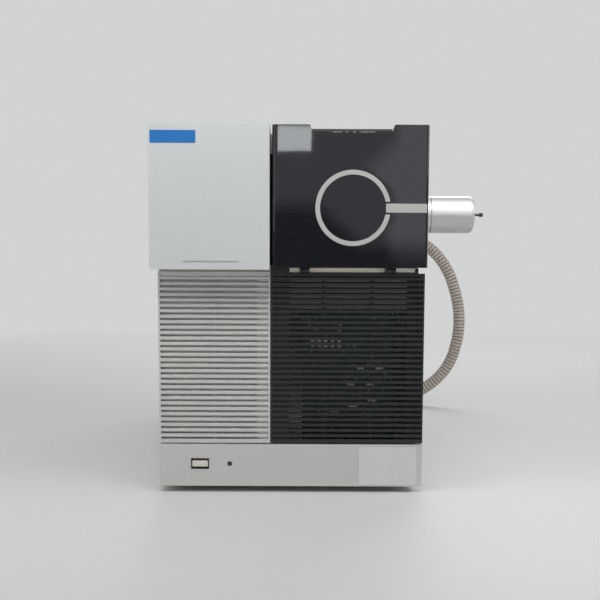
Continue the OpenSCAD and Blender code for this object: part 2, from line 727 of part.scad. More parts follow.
module vacuum_chamber() {
    color(bare_aluminium) difference() {
        union() {
            box([chamber_x0, chamber_y0, chamber_z0], [chamber_x1, chamber_y1, chamber_z1]);
            for (x = [chamber_x0, chamber_x1 - 16], y = [chamber_y0 + 14, chamber_y1 - 34])
                box([x, y, shelf_top], [x + 16, y + 20, chamber_z0 + eps]);
        }
        for (y = [[chamber_y0 + chamber_t, chamber_mid - 6], [chamber_mid + 6, chamber_y1 - chamber_t]])
            box([chamber_x0 - 1, y[0], chamber_floor], [chamber_x1 - chamber_t, y[1], chamber_z1 - chamber_t]);
        translate([analyser_x, chamber_mid - 8, analyser_z]) along_y(24, 16);
        translate([analyser_x, chamber_y0 - 1, analyser_z]) along_y(24, chamber_t + 2);
        translate([chamber_x1 - chamber_t - 1, transfer_y, analyser_z]) along_x(heater_r + 1, chamber_t + 2);
        translate([analyser_x, turbo_y - 58, chamber_z0 - 1]) cylinder(r = 36, h = chamber_t + 2);
        translate([analyser_x, turbo_y + 58, chamber_z0 - 1]) cylinder(r = 36, h = chamber_t + 2);
    }
}

module chamber_end_plate() {
    color(bare_steel) difference() {
        union() {
            translate([chamber_x0, chamber_y0 - end_plate_t, chamber_z0]) rounded_plate(chamber_w, chamber_w, end_plate_t, 6);
            translate([analyser_x, chamber_y0 - end_plate_t - 6, analyser_z]) along_y(36, 7);
            for (x = [-1, 1], z = [-1, 1])
                translate([analyser_x + x * (chamber_w / 2 - 10), chamber_y0 - end_plate_t + eps, analyser_z + z * (chamber_w / 2 - 10)]) cap_head(5, 5);
        }
        translate([analyser_x, chamber_y0 - end_plate_t - 7, analyser_z]) along_y(24, 4);
        translate([analyser_x, chamber_y0 - end_plate_t - 7, analyser_z]) along_y(20, end_plate_t + 9);
        translate([knob_x, chamber_y0 - end_plate_t - 1, knob_z]) along_y(knob_shaft_r + run_gap, end_plate_t - 1);
    }
}

module viewport_glass() {
    color([0.75, 0.85, 0.85]) translate([analyser_x, chamber_y0 - end_plate_t - 5.6, analyser_z]) along_y(24, 2.6);
}

// The two lids that close the chamber's open side, each with a raised middle
module side_plates() {
    x1 = chamber_x0 - seal_t;
    color(bare_aluminium)
        for (y = [[chamber_y0 + 3, chamber_mid - 1], [chamber_mid + 1, chamber_y1 - 3]]) {
            box([x1 - side_plate_t, y[0], chamber_z0 + 3], [x1, y[1], chamber_z1 - 3]);
            box([x1 - side_plate_t - 4, y[0] + 40, chamber_z0 + 20], [x1 - side_plate_t + eps, y[1] - 40, chamber_z1 - 20]);
        }
}

module side_plate_seals() {
    x1 = chamber_x0;
    color(rubber_black)
        for (y = [[chamber_y0 + 6, chamber_mid - 2.5], [chamber_mid + 2.5, chamber_y1 - 6]]) difference() {
            box([x1 - seal_t, y[0], chamber_z0 + 6], [x1, y[1], chamber_z1 - 6]);
            box([x1 - seal_t - 1, y[0] + 3, chamber_z0 + 9], [x1 + 1, y[1] - 3, chamber_z1 - 9]);
        }
}

module side_plate_screws() {
    x1 = chamber_x0 - seal_t - side_plate_t;
    color(bare_steel)
        for (y = [chamber_y0 + 24, chamber_mid - 22, chamber_mid + 22, chamber_y1 - 24])
            translate([x1 - 14, y, analyser_z]) {
                along_x(9, 10, 24);
                translate([10 - eps, 0, 0]) along_x(5, 4 + eps, 24);
            }
}

knob_x = analyser_x - chamber_w / 2 + 16;
knob_z = analyser_z - chamber_w / 2 + 34;
knob_shaft_r = 3;

module vent_knob() {
    color(dark_plastic) translate([knob_x, chamber_y0 - end_plate_t - 15, knob_z]) {
        difference() {
            along_y(9, 12);
            for (a = [0 : 30 : 330]) rotate([0, a, 0]) translate([9.6, -1, 0]) along_y(1.5, 14, 16);
        }
        along_y(knob_shaft_r, 15 + end_plate_t - 3);
    }
}

valve_x = analyser_x + chamber_w / 2 - 16;

module calibrant_valve() {
    color(bare_steel) translate([valve_x, chamber_y0 - end_plate_t, analyser_z - 18]) {
        box([-9, -16, -8], [9, 0, 8]);
        translate([0, -8, 8 - eps]) cylinder(r = 5, h = 10);
    }
}

module calibrant_vial() {
    color([0.8, 0.88, 0.88]) translate([valve_x, chamber_y0 - end_plate_t - 8, analyser_z - 26 - 18]) {
        cylinder(r = 6, h = 14);
        cylinder(r = 4, h = 18);
    }
}

module ion_source() {
    color(bare_steel) difference() {
        union() {
            translate([analyser_x, source_y[0], analyser_z]) along_y(19, source_y[1] - source_y[0]);
            translate([analyser_x, source_y[1] - eps, analyser_z]) along_y(13, 5);
            box([analyser_x - 9, source_y[0] + 8, chamber_floor], [analyser_x + 9, source_y[1] - 8, analyser_z - 12]);
            box([analyser_x - 22, source_y[0] + 6, chamber_floor], [analyser_x + 22, source_y[1] - 6, chamber_floor + 4]);
        }
        translate([analyser_x, source_y[0] - 1, analyser_z]) along_y(4, 60);
        translate([analyser_x, transfer_y, analyser_z]) along_x(tube_r + 0.4, 30);
        translate([analyser_x, transfer_y, analyser_z - 3]) cylinder(r = 2, h = 40);
    }
}

module rods(y0, y1, count, pitch_r, r) {
    for (i = [0 : count - 1]) rotate([0, i * 360 / count + 45, 0])
        translate([pitch_r, y0, 0]) along_y(r, y1 - y0, 32);
}

module front_quadrupole() {
    color(bare_steel) translate([analyser_x, 0, analyser_z])
        rods(front_quad_y[0], front_quad_y[1], 4, rod_r + channel_r, rod_r);
}

module rear_quadrupole() {
    color(bare_steel) translate([analyser_x, 0, analyser_z])
        rods(rear_quad_y[0], rear_quad_y[1], 4, rod_r + channel_r, rod_r);
}

module rod_holder(y) {
    pitch_r = rod_r + channel_r;
    difference() {
        union() {
            translate([analyser_x, y, analyser_z]) along_y(21, 10);
            box([analyser_x - 8, y, chamber_floor], [analyser_x + 8, y + 10, analyser_z - 12]);
            box([analyser_x - 20, y, chamber_floor], [analyser_x + 20, y + 10, chamber_floor + 4]);
        }
        translate([analyser_x, 0, analyser_z]) rods(y - 1, y + 11, 4, pitch_r, rod_r);
        translate([analyser_x, y - 1, analyser_z]) along_y(channel_r + 1, 12);
    }
}

module rod_holders() {
    color(ceramic_white)
        for (y = [front_quad_y[0] + 8, front_quad_y[1] - 22, rear_quad_y[0] + 8, rear_quad_y[1] - 22]) rod_holder(y);
}

module collision_cell() {
    color(bare_aluminium) {
        difference() {
            translate([analyser_x, cell_y[0], analyser_z]) along_y(23.8, cell_l);
            translate([analyser_x, cell_y[0] + 4, analyser_z]) along_y(18, cell_l - 8);
            translate([analyser_x, cell_y[0] - 1, analyser_z]) along_y(3, cell_l + 2);
        }
        // six rods between the end walls
        translate([analyser_x, 0, analyser_z])
            for (i = [0 : 5]) rotate([0, i * 60, 0]) translate([7, cell_y[0] + 4 - eps, 0]) along_y(1.8, cell_l - 8 + 2 * eps, 24);
    }
}

module detector() {
    y0 = rear_quad_y[1] + 8;
    color(bare_steel) {
        difference() {
            box([analyser_x - 24, y0, chamber_floor], [analyser_x + 24, y0 + 46, analyser_z + 24]);
            translate([analyser_x, y0 - 1, analyser_z]) along_y(9, 30);
        }
        translate([analyser_x - 12, y0 + 23, analyser_z + 24 - eps]) cylinder(r = 7, h = 10);
    }
}

module turbo_pump() {
    flange_z = chamber_z0 - turbo_flange_t;
    body_z0 = flange_z - turbo_h;
    color(bare_aluminium) translate([analyser_x, turbo_y, 0]) {
        translate([0, 0, flange_z]) cylinder(r = turbo_flange_r - 4, h = turbo_flange_t);
        translate([0, 0, body_z0]) cylinder(r = turbo_r, h = turbo_h + eps);
        for (i = [0 : 5]) translate([0, 0, body_z0 + 12 + i * 14]) cylinder(r = turbo_r + 4, h = 4);
        box([-42, -42, body_z0 - 42], [42, 42, body_z0 + eps]);
    }
}

// Pipe from the pump's outlet to the port on the rear panel, with an elbow fitting at each bend
pump_outlet_z = chamber_z0 - turbo_flange_t - turbo_h - 21;
pipe_back_y = rear_in - 60;
elbow_ball_r = pipe_r + 3;

module backing_pipe() {
    outlet_y = turbo_y + 42;
    color(bare_steel) {
        translate([port_x, outlet_y, pump_outlet_z]) along_y(pipe_r, pipe_back_y - outlet_y, 32);
        translate([port_x, outlet_y, pump_outlet_z]) along_y(pipe_r + 5, 8, 32);
        for (z = [pump_outlet_z, port_z]) translate([port_x, pipe_back_y, z]) sphere(r = elbow_ball_r, $fn = 32);
        translate([port_x, pipe_back_y, pump_outlet_z]) cylinder(r = pipe_r, h = port_z - pump_outlet_z, $fn = 32);
        translate([port_x, pipe_back_y, port_z]) along_y(pipe_r, cabinet_d - pipe_back_y, 32);
    }
}

// ---- Transfer line ----

module transfer_flange() {
    color(bare_aluminium) difference() {
        union() {
            translate([chamber_x1, transfer_y, analyser_z]) along_x(34, flange_x1 - chamber_x1);
            for (a = [30, 150, 270]) rotate([0, 0, 0])
                translate([flange_x1 - eps, transfer_y + 28 * cos(a), analyser_z + 28 * sin(a)]) along_x(4, 4, 6);
        }
        translate([chamber_x1 - 1, transfer_y, analyser_z]) along_x(heater_r, flange_x1 - chamber_x1 + 10);
    }
}

// Ring between the side panel and the sleeve's shoulder, round the sleeve's neck
module transfer_collar() {
    color(bare_aluminium) difference() {
        translate([body_x1, transfer_y, analyser_z]) along_x(sleeve_r - collar_step, collar_l - fit_gap, 96);
        translate([body_x1 - 1, transfer_y, analyser_z]) along_x(neck_r + fit_gap, collar_l + 2, 96);
    }
}

module transfer_sleeve() {
    color(bare_aluminium) translate([0, transfer_y, analyser_z]) rotate([0, 90, 0]) rotate_extrude($fn = 96) polygon(concat(
        [[heater_r, flange_x1], [neck_r, flange_x1], [neck_r, sleeve_x0], [sleeve_r, sleeve_x0]],
        [for (a = [0 : 10 : 90]) [sleeve_r - sleeve_round + sleeve_round * cos(a), sleeve_x1 - sleeve_round + sleeve_round * sin(a)]],
        [[tube_r + run_gap, sleeve_x1], [tube_r + run_gap, sleeve_x1 - sleeve_t - 1.2],
         [heater_r, sleeve_x1 - sleeve_t - 1.2], [heater_r, sleeve_x1 - 30],
         [sleeve_r - sleeve_t - 2, sleeve_x1 - 34], [sleeve_r - sleeve_t, sleeve_x0 + sleeve_t + 2],
         [neck_r - sleeve_t, sleeve_x0], [neck_r - sleeve_t, flange_x1 + sleeve_t], [heater_r, flange_x1 + sleeve_t]]));
}

module transfer_heater() {
    color([0.62, 0.50, 0.30]) difference() {
        translate([chamber_x1 - chamber_t, transfer_y, analyser_z]) along_x(heater_r, sleeve_x1 - sleeve_t - 1.2 - chamber_x1 + chamber_t);
        translate([chamber_x1 - chamber_t - 1, transfer_y, analyser_z]) along_x(tube_r, sleeve_x1 - chamber_x1 + 20);
    }
}

module transfer_tube() {
    color([0.18, 0.16, 0.14]) translate([analyser_x + 14, transfer_y, analyser_z]) {
        along_x(tube_r, tip_x1 - analyser_x - 14, 24);
        translate([tip_x1 - analyser_x - 14 - 5.2, 0, 0]) along_x(tube_r + 1.1, 4.6, 6);
    }
}

// ---- Electronics ----

board_x = split_x - 3 - 12;
board_t = 1.6;

board_z0 = floor_top + 12;

module main_board() {
    color(board_green) box([board_x - board_t, board_y0, board_z0], [board_x, board_y0 + board_l, board_z0 + board_h]);
}

module board_parts() {
    color([0.2, 0.2, 0.21]) {
        for (y = [14, board_l / 2, board_l - 20], z = [10, board_h - 12])
            translate([board_x, board_y0 + y, board_z0 + z]) along_x(3, 12, 24);
        for (y = [40 : 90 : 310], z = [38, 128])
            box([board_x - board_t - 16, board_y0 + y, board_z0 + z], [board_x - board_t, board_y0 + y + 56, board_z0 + z + 44]);
        for (i = [0 : 6])
            box([board_x - board_t - 30, board_y0 + board_l - 100, board_z0 + 38 + i * 18],
                [board_x - board_t, board_y0 + board_l - 30, board_z0 + 44 + i * 18]);
        for (y = [50, 80, 110])
            translate([board_x - board_t - 24, board_y0 + y, board_z0 + board_h - 30]) along_x(9, 24, 32);
    }
}

valve_x0 = right_vent[0] + 19;
valve_x1 = right_vent[1] - 8;
valve_y0 = board_y0 + 4;
valve_z0 = floor_top + 30;
valve_z1 = right_vent[3] - 4;

module valve_board() {
    color(board_green) box([valve_x0, valve_y0, valve_z0], [valve_x1, valve_y0 + board_t, valve_z1]);
}

module valve_board_parts() {
    back = valve_y0 + board_t;
    color(ceramic_white) {
        for (x = [valve_x0 + 6, valve_x1 - 10]) box([x, back, floor_top], [x + 4, back + 4, floor_top + 60]);
        for (x = [valve_x0 + 6, valve_x1 - 24]) box([x, back, floor_top], [x + 18, back + 19, floor_top + 3]);
        for (i = [0 : 3]) box([valve_x0 + 62 + i * 13, valve_y0 - 10, valve_z0 + 94 + (i % 2) * 20],
            [valve_x0 + 71 + i * 13, valve_y0, valve_z0 + 99 + (i % 2) * 20]);
        for (i = [0 : 2]) box([valve_x0 + 38 + i * 26, valve_y0 - 12, valve_z0 + 54 + i * 8],
            [valve_x0 + 50 + i * 26, valve_y0, valve_z0 + 59 + i * 8]);
        for (i = [0 : 4]) box([valve_x0 + 12 + i * 9, valve_y0 - 8, valve_z1 - 50], [valve_x0 + 17 + i * 9, valve_y0, valve_z1 - 38]);
    }
}

module power_supply() {
    y1 = rear_in - 36;
    x0 = -inner_x + 14;
    color(bare_steel) difference() {
        box([x0, y1 - supply_l, floor_top], [split_x - 20, y1, floor_top + supply_h]);
        for (i = [0 : 9])
            box([x0 + 10 + i * 10, y1 - supply_l - 1, floor_top + 14], [x0 + 14 + i * 10, y1 - supply_l + 6, floor_top + supply_h - 14]);
    }
}

// ---- Rear ----

module fan_frame(x) {
    y0 = rear_in - fan_t;
    difference() {
        union() {
            difference() {
                translate([x - fan_w / 2, y0, fan_z - fan_w / 2]) rounded_plate(fan_w, fan_w, fan_t, 5);
                translate([x, y0 - 1, fan_z]) along_y(fan_hole_r, fan_t + 2);
                for (sx = [-1, 1], sz = [-1, 1])
                    translate([x + sx * (fan_w / 2 - 7.25), y0 - 1, fan_z + sz * (fan_w / 2 - 7.25)]) along_y(2.2, fan_t + 2, 24);
            }
            translate([x, y0, fan_z]) along_y(fan_hub_r, 5);
            for (a = [45 : 90 : 315]) translate([x, y0, fan_z]) rotate([0, a, 0]) box([fan_hub_r - 1, 0, -2], [fan_hole_r + 1, 4, 2]);
        }
        translate([x, y0 - 1, fan_z]) along_y(fan_shaft_r + run_gap, 12);
    }
}

module fan_rotor(x) {
    y0 = rear_in - fan_t + 6;
    blade_d = fan_t - 9;
    translate([x, y0, fan_z]) {
        along_y(fan_hub_r, blade_d);
        translate([0, -4.5, 0]) along_y(fan_shaft_r, 5);
        intersection() {
            along_y(blade_tip_r, blade_d);
            for (i = [0 : blade_count - 1]) rotate([0, i * 360 / blade_count, 0])
                translate([fan_hub_r - 2, blade_d / 2, 0]) rotate([90, 0, 90]) rotate([0, 0, 38])
                    linear_extrude(height = fan_w / 2)
                        polygon([[-15, 0.4], [-7, 2.2], [0, 2.8], [7, 2.2], [15, 0.4], [7, 0.7], [0, 1.1], [-7, 0.7]]);
        }
    }
}

module left_fan_frame() { color(dark_plastic) fan_frame(fan_x[0]); }
module left_fan_rotor() { color(dark_plastic) fan_rotor(fan_x[0]); }
module right_fan_frame() { color(dark_plastic) fan_frame(fan_x[1]); }
module right_fan_rotor() { color(dark_plastic) fan_rotor(fan_x[1]); }

// Stamped guard: flat rings on four spokes that reach the frames' screws
module fan_guards() {
    wire_w = 2;
    spoke = fan_w * 1.3;
    color(bare_steel)
        for (x = fan_x) translate([x, cabinet_d + guard_t, fan_z]) rotate([90, 0, 0]) linear_extrude(height = guard_t) {
            for (r = [14 : 9.5 : fan_hole_r]) difference() {
                circle(r = r + wire_w / 2);
                circle(r = r - wire_w / 2);
            }
            for (a = [45, 135]) rotate(a) square([spoke, wire_w], center = true);
            for (a = [45 : 90 : 315]) rotate(a) translate([spoke / 2 - 3, 0]) circle(r = 4.5);
        }
}

inlet_x = -half_w + 60;
inlet_z = 74;

module mains_inlet() {
    color(dark_plastic) difference() {
        union() {
            box([inlet_x - 24, rear_in - 24, inlet_z - 14], [inlet_x + 24, cabinet_d, inlet_z + 14]);
            translate([inlet_x - 30, cabinet_d, inlet_z - 17]) rounded_plate(60, 34, 2, 3);
        }
        box([inlet_x - 15, cabinet_d - 18, inlet_z - 10], [inlet_x + 15, cabinet_d + 3, inlet_z + 10]);
        for (s = [-1, 1]) translate([inlet_x + s * 25.5, cabinet_d - 1, inlet_z]) along_y(1.6, 4, 24);
    }
    color(bare_steel) for (dx = [-8, 0, 8])
        box([inlet_x + dx - 1.2, cabinet_d - 18 - eps, inlet_z - 3], [inlet_x + dx + 1.2, cabinet_d - 5, inlet_z + 3]);
}

socket_z = shelf_top + 36.8;
socket_list = [[-14, 0, 16, 14], [14, 0, 33, 13]];

module rear_sockets() {
    color(dark_plastic) for (s = socket_list) difference() {
        union() {
            box([s[0] - s[2] / 2, rear_in - 14, socket_z - s[3] / 2], [s[0] + s[2] / 2, cabinet_d, socket_z + s[3] / 2]);
            box([s[0] - s[2] / 2 - 1.5, cabinet_d, socket_z - s[3] / 2 - 1.5], [s[0] + s[2] / 2 + 1.5, cabinet_d + 1.5, socket_z + s[3] / 2 + 1.5]);
        }
        box([s[0] - s[2] / 2 + 2, cabinet_d - 12, socket_z - s[3] / 2 + 2], [s[0] + s[2] / 2 - 2, cabinet_d + 3, socket_z + s[3] / 2 - 2]);
    }
}

// Elbow on the rear panel with its clamp ring, and a tail for the hose
module hose_port() {
    bend_pipe = pipe_r + 1;
    color(bare_steel) {
        difference() {
            union() {
                translate([port_x, cabinet_d, port_z]) along_y(flange_r, 4);
                translate([port_x, cabinet_d + 3, port_z]) along_y(flange_r - 3, 6);
                translate([port_x, cabinet_d + 8, port_z]) along_y(bend_pipe + 1, 6);
            }
            translate([port_x, cabinet_d - 1, port_z]) along_y(pipe_r - 2, 12);
        }
        translate([port_x + elbow_r, cabinet_d + 12, port_z])
            rotate([0, 0, 90]) rotate_extrude(angle = 90) translate([elbow_r, 0]) circle(r = bend_pipe, $fn = 32);
        translate([port_x + elbow_r - 2, elbow_y, port_z]) along_x(bend_pipe + 1, 16);
        translate([port_x + elbow_r + 13, elbow_y, port_z]) along_x(hose_r + 2.2, 9);
        translate([port_x + elbow_r + 14, elbow_y - 5, port_z + hose_r + 1]) box([0, 0, 0], [7, 10, 6]);
    }
}

// ---- Backing hose ----

function unit(v) = v / norm(v);
function route_dir(p, i) = unit(i == 0 ? p[1] - p[0]
    : i == len(p) - 1 ? p[i] - p[i - 1] : unit(p[i + 1] - p[i]) + unit(p[i] - p[i - 1]));
// Rings keep one reference direction, +Y, which the hose never runs along
function ring_points(p, i, r, n) = let (d = route_dir(p, i), u = unit([0, 1, 0] - d * (d * [0, 1, 0])), v = cross(d, u))
    [for (k = [0 : n - 1]) p[i] + r * (cos(360 * k / n) * u + sin(360 * k / n) * v)];

module swept_tube(p, r, n) {
    rings = len(p);
    points = [for (i = [0 : rings - 1]) each ring_points(p, i, r, n)];
    walls = [for (i = [0 : rings - 2], k = [0 : n - 1])
        [i * n + k, i * n + (k + 1) % n, (i + 1) * n + (k + 1) % n, (i + 1) * n + k]];
    ends = [[for (k = [n - 1 : -1 : 0]) k], [for (k = [0 : n - 1]) (rings - 1) * n + k]];
    polyhedron(points = points, faces = concat(walls, ends), convexity = 6);
}

module backing_hose() {
    color(hose_beige) swept_tube(hose_route, hose_r, hose_sides);
}

module hose_end_flange() {
    turn = atan2(hose_end_dir[1], hose_end_dir[0]);
    color(bare_steel) translate([hose_end[0], hose_end[1], flange_r + 0.4]) rotate([0, 0, turn]) difference() {
        union() {
            translate([0, 0, 0]) along_x(hose_r + 2.2, 9);
            along_x(pipe_r + 1, end_tail);
            translate([end_tail - 4, 0, 0]) along_x(flange_r, 4);
        }
        translate([4, 0, 0]) along_x(pipe_r - 2, end_tail);
    }
}

place() base_pan();
place() feet();
place() front_frame();
place() centre_wall();
place() analyser_shelf();
place() left_side_panel();
place() right_side_panel();
place() top_cover();
place() rear_panel();
place() plinth_panel();
place() button_bezel();
place() power_button();
place() power_switch();
place() status_lens();
place() light_grille();
place() dark_grille();
place() upper_left_cover();
place() colour_plate();
place() window_cover();
place() window_inlays();
place() hinge_brackets();
place() hinge_pins();
place() cover_latch();
place() vacuum_chamber();
place() chamber_end_plate();
place() viewport_glass();
place() side_plates();
place() side_plate_seals();
place() side_plate_screws();
place() vent_knob();
place() calibrant_valve();
place() calibrant_vial();
place() ion_source();
place() front_quadrupole();
place() rear_quadrupole();
place() rod_holders();
place() collision_cell();
place() detector();
place() turbo_pump();
place() backing_pipe();
place() transfer_flange();
place() transfer_collar();
place() transfer_sleeve();
place() transfer_heater();
place() transfer_tube();
place() main_board();
place() board_parts();
place() valve_board();
place() valve_board_parts();
place() power_supply();
place() left_fan_frame();
place() left_fan_rotor();
place() right_fan_frame();
place() right_fan_rotor();
place() fan_guards();
place() mains_inlet();
place() rear_sockets();
place() hose_port();
place() backing_hose();
place() hose_end_flange();
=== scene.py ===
import bpy
import bmesh
import math
from mathutils import Matrix, Vector


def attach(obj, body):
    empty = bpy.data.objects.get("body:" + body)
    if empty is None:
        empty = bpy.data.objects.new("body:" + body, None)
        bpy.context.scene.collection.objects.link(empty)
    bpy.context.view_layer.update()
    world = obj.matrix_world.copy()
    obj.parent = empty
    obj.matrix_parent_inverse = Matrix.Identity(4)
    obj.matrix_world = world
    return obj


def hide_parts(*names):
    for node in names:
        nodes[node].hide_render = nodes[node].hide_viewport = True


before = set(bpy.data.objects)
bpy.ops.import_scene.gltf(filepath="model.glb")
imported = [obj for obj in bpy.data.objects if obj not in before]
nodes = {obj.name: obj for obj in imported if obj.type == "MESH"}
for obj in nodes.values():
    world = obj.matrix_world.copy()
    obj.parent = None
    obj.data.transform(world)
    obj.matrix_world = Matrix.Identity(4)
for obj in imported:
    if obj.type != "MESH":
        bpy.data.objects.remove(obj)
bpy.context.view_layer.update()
scene = bpy.context.scene
print("frame loaded,", len(nodes), "nodes")

cabinetShift = (43.4, 423.6)  # mm from the middle of the lower front edge to the shared origin


def at(x, y, z):  # mm in the cabinet's own place, to metres in the shared frame
    return Vector(((x - cabinetShift[0]) / 1000, (y - cabinetShift[1]) / 1000, z / 1000))


def tone(red, green, blue):  # a screen colour from 0 to 255, as the shader needs it
    shares = [value / 255 for value in (red, green, blue)]
    linear = [v / 12.92 if v * 255 < 10 else ((v + 0.055) / 1.055) ** 2.4 for v in shares]
    return (*linear, 1)


# Camera
cameraSettings = {
    "place": (-0.0326, -1.7002, 0.2898),
    "tilt": 83.81,
    "roll": 0.21,
    "lens": 59.23,
    "shift": (0.0011, 0.1299),
}
cameraData = bpy.data.cameras.new("camera")
cameraData.lens = cameraSettings["lens"]
cameraData.sensor_width = 36
cameraData.sensor_fit = "HORIZONTAL"
cameraData.shift_x, cameraData.shift_y = cameraSettings["shift"]
cameraData.clip_end = 100
camera = bpy.data.objects.new("camera", cameraData)
camera.location = cameraSettings["place"]
tilted = Matrix.Rotation(math.radians(cameraSettings["tilt"]), 4, "X")
rolled = Matrix.Rotation(math.radians(cameraSettings["roll"]), 4, "Z")
camera.rotation_euler = (tilted @ rolled).to_euler()
scene.collection.objects.link(camera)
scene.camera = camera
scene.view_settings.view_transform = "Standard"
print("camera made")


class Wire:  # an output socket; sums on it add Math nodes, and node() adds any other node
    def __init__(self, tree, socket=None):
        self.tree = tree
        self.socket = socket

    def node(self, kind, settings={}, inputs={}, output=0):
        made = self.tree.nodes.new(kind)
        for key, value in settings.items():
            setattr(made, key, value)
        for key, value in inputs.items():
            if isinstance(value, Wire):
                self.tree.links.new(value.socket, made.inputs[key])
            else:
                made.inputs[key].default_value = value
        return Wire(self.tree, made.outputs[output] if len(made.outputs) else None)

    def maths(self, operation, first, second=0.0):
        return self.node("ShaderNodeMath", {"operation": operation}, {0: first, 1: second})

    def __add__(self, other):
        return self.maths("ADD", self, other)

    def __radd__(self, other):
        return self.maths("ADD", other, self)

    def __sub__(self, other):
        return self.maths("SUBTRACT", self, other)

    def __rsub__(self, other):
        return self.maths("SUBTRACT", other, self)

    def __mul__(self, other):
        return self.maths("MULTIPLY", self, other)

    def __rmul__(self, other):
        return self.maths("MULTIPLY", other, self)

    def clip(self, low, high):  # 0 at low, 1 at high
        inputs = {"Value": self, "From Min": low, "From Max": high}
        return self.node("ShaderNodeMapRange", {"clamp": True}, inputs)

    def mix(self, first, second):  # colour mix by this factor
        return self.node("ShaderNodeMix", {"data_type": "RGBA"}, {0: self, 6: first, 7: second}, 2)

    def noise(self, where, scale, detail=2.0, roughness=0.5):
        inputs = {"Vector": where, "Scale": scale, "Detail": detail, "Roughness": roughness}
        return self.node("ShaderNodeTexNoise", {}, inputs)

    def stretched(self, where, scale):
        return self.node("ShaderNodeMapping", {}, {"Vector": where, "Scale": scale})

    def bump(self, height, strength, distance):
        return self.node("ShaderNodeBump", {}, {"Height": height, "Strength": strength, "Distance": distance})


materials = {}


def makeMaterial(name, recipe, settings):
    material = bpy.data.materials.new(name)
    material.use_nodes = True
    tree = material.node_tree
    tree.nodes.clear()
    start = Wire(tree)
    where = start.node("ShaderNodeTexCoord", output="Object")
    shader = start.node("ShaderNodeBsdfPrincipled", {}, recipe(start, where, settings))
    start.node("ShaderNodeOutputMaterial", {}, {"Surface": shader})
    material.diffuse_color = settings["colour"]
    materials[name] = material
    return material


def darker(colour, share):
    return (colour[0] * share, colour[1] * share, colour[2] * share, 1)


def moulded(start, where, s):  # moulded plastic with a fine spark-eroded grain and faint clouding
    grain = start.noise(where, s["grain"], 3, 0.6)
    cloud = start.noise(where, 9, 3, 0.5).clip(0.3, 0.7)
    up = start.node("ShaderNodeSeparateXYZ", {}, {0: start.node("ShaderNodeNewGeometry", output="Normal")}, 2)
    dust = up.clip(0.35, 0.9) * start.noise(where, 60, 4, 0.7).clip(0.35, 0.75) * s["dust"]
    base = cloud.mix(s["colour"], darker(s["colour"], 1 - s["mottle"]))
    return {
        "Base Color": dust.mix(base, tone(150, 146, 138)),
        "Roughness": s["roughness"] + (grain - 0.5) * 0.16 + dust * 0.3,
        "Specular IOR Level": s["shine"],
        "Normal": start.bump(grain, s["depth"], 0.0003),
    }


def powderCoat(start, where, s):  # sprayed sheet with an orange-peel skin
    peel = start.noise(where, 420, 2, 0.4)
    fleck = start.noise(where, 2600, 1, 0.5)
    cloud = start.noise(where, 5, 4, 0.6).clip(0.25, 0.75)
    return {
        "Base Color": cloud.mix(s["colour"], darker(s["colour"], 0.955)),
        "Roughness": s["roughness"] + (fleck - 0.5) * 0.14,
        "Normal": start.bump(peel + fleck * 0.35, 0.22, 0.0004),
    }


def frontSheetPaintedShade(start, where, s):  # powder coat, with painted shade where the grilles cover it: darker grey behind the dark grille, lighter grey behind the light grille
    coat = powderCoat(start, where, s)
    height = start.node("ShaderNodeSeparateXYZ", {}, {0: where}, 2)
    across = start.node("ShaderNodeSeparateXYZ", {}, {0: where}, 0)
    cloud = start.noise(where, 24, 3, 0.6)
    # painted shade: below the grilles' top edge the sheet takes a grey tone that stands in for the shade
    # behind the slats
    paintedShadeMask = 1 - (height + (cloud - 0.5) * 0.0006).clip(s["edge"] - 0.0004, s["edge"] + 0.0004)
    paintedShadeTone = across.clip(s["split"] - 0.001, s["split"]).mix(s["shadeBehindLightGrille"], s["shadeBehindDarkGrille"])
    coat["Base Color"] = paintedShadeMask.mix(coat["Base Color"], paintedShadeTone)
    return coat


def acrylic(start, where, s):  # glossy tinted window; faint wiping marks in the polish
    wipe = start.noise(start.stretched(where, (9, 9, 55)), 1.0, 5, 0.6)
    speck = start.noise(where, 700, 1, 0.5).clip(0.70, 0.80)
    return {
        "Base Color": speck.mix(s["colour"], tone(70, 72, 76)),
        "Roughness": s["roughness"] + wipe.clip(0.4, 0.75) * 0.02 + speck * 0.15,
        "Specular IOR Level": s["shine"],
        "Normal": start.bump(start.noise(where, 16, 2, 0.5), 0.05, 0.0006),
    }


def brushed(start, where, s):  # brushed or turned metal: streaks drawn out along one direction
    streak = start.noise(start.stretched(where, s["streaks"]), 1.0, 4, 0.65)
    cloud = start.noise(where, 26, 4, 0.6).clip(0.3, 0.75)
    shade = (streak.clip(0.3, 0.7) * 0.7 + cloud * 0.3)
    return {
        "Base Color": shade.mix(s["colour"], darker(s["colour"], 1 - s["mottle"])),
        "Metallic": 1.0,
        "Roughness": s["roughness"] + (streak - 0.5) * s["spread"] + cloud * 0.05,
        "Normal": start.bump(streak, s["depth"], 0.0002),
    }


def castMetal(start, where, s):  # machined or cast, with a fine even tooth
    tooth = start.noise(where, 900, 3, 0.7)
    cloud = start.noise(where, 14, 4, 0.6).clip(0.3, 0.7)
    return {
        "Base Color": cloud.mix(s["colour"], darker(s["colour"], 0.88)),
        "Metallic": 1.0,
        "Roughness": s["roughness"] + (tooth - 0.5) * 0.12,
        "Normal": start.bump(tooth, 0.12, 0.0003),
    }


def softRubber(start, where, s):
    pore = start.noise(where, 1300, 2, 0.6)
    cloud = start.noise(where, 30, 3, 0.6).clip(0.3, 0.7)
    return {
        "Base Color": cloud.mix(s["colour"], darker(s["colour"], 0.85)),
        "Roughness": s["roughness"] + (pore - 0.5) * 0.15,
        "Specular IOR Level": 0.35,
        "Normal": start.bump(pore, 0.15, 0.0003),
    }


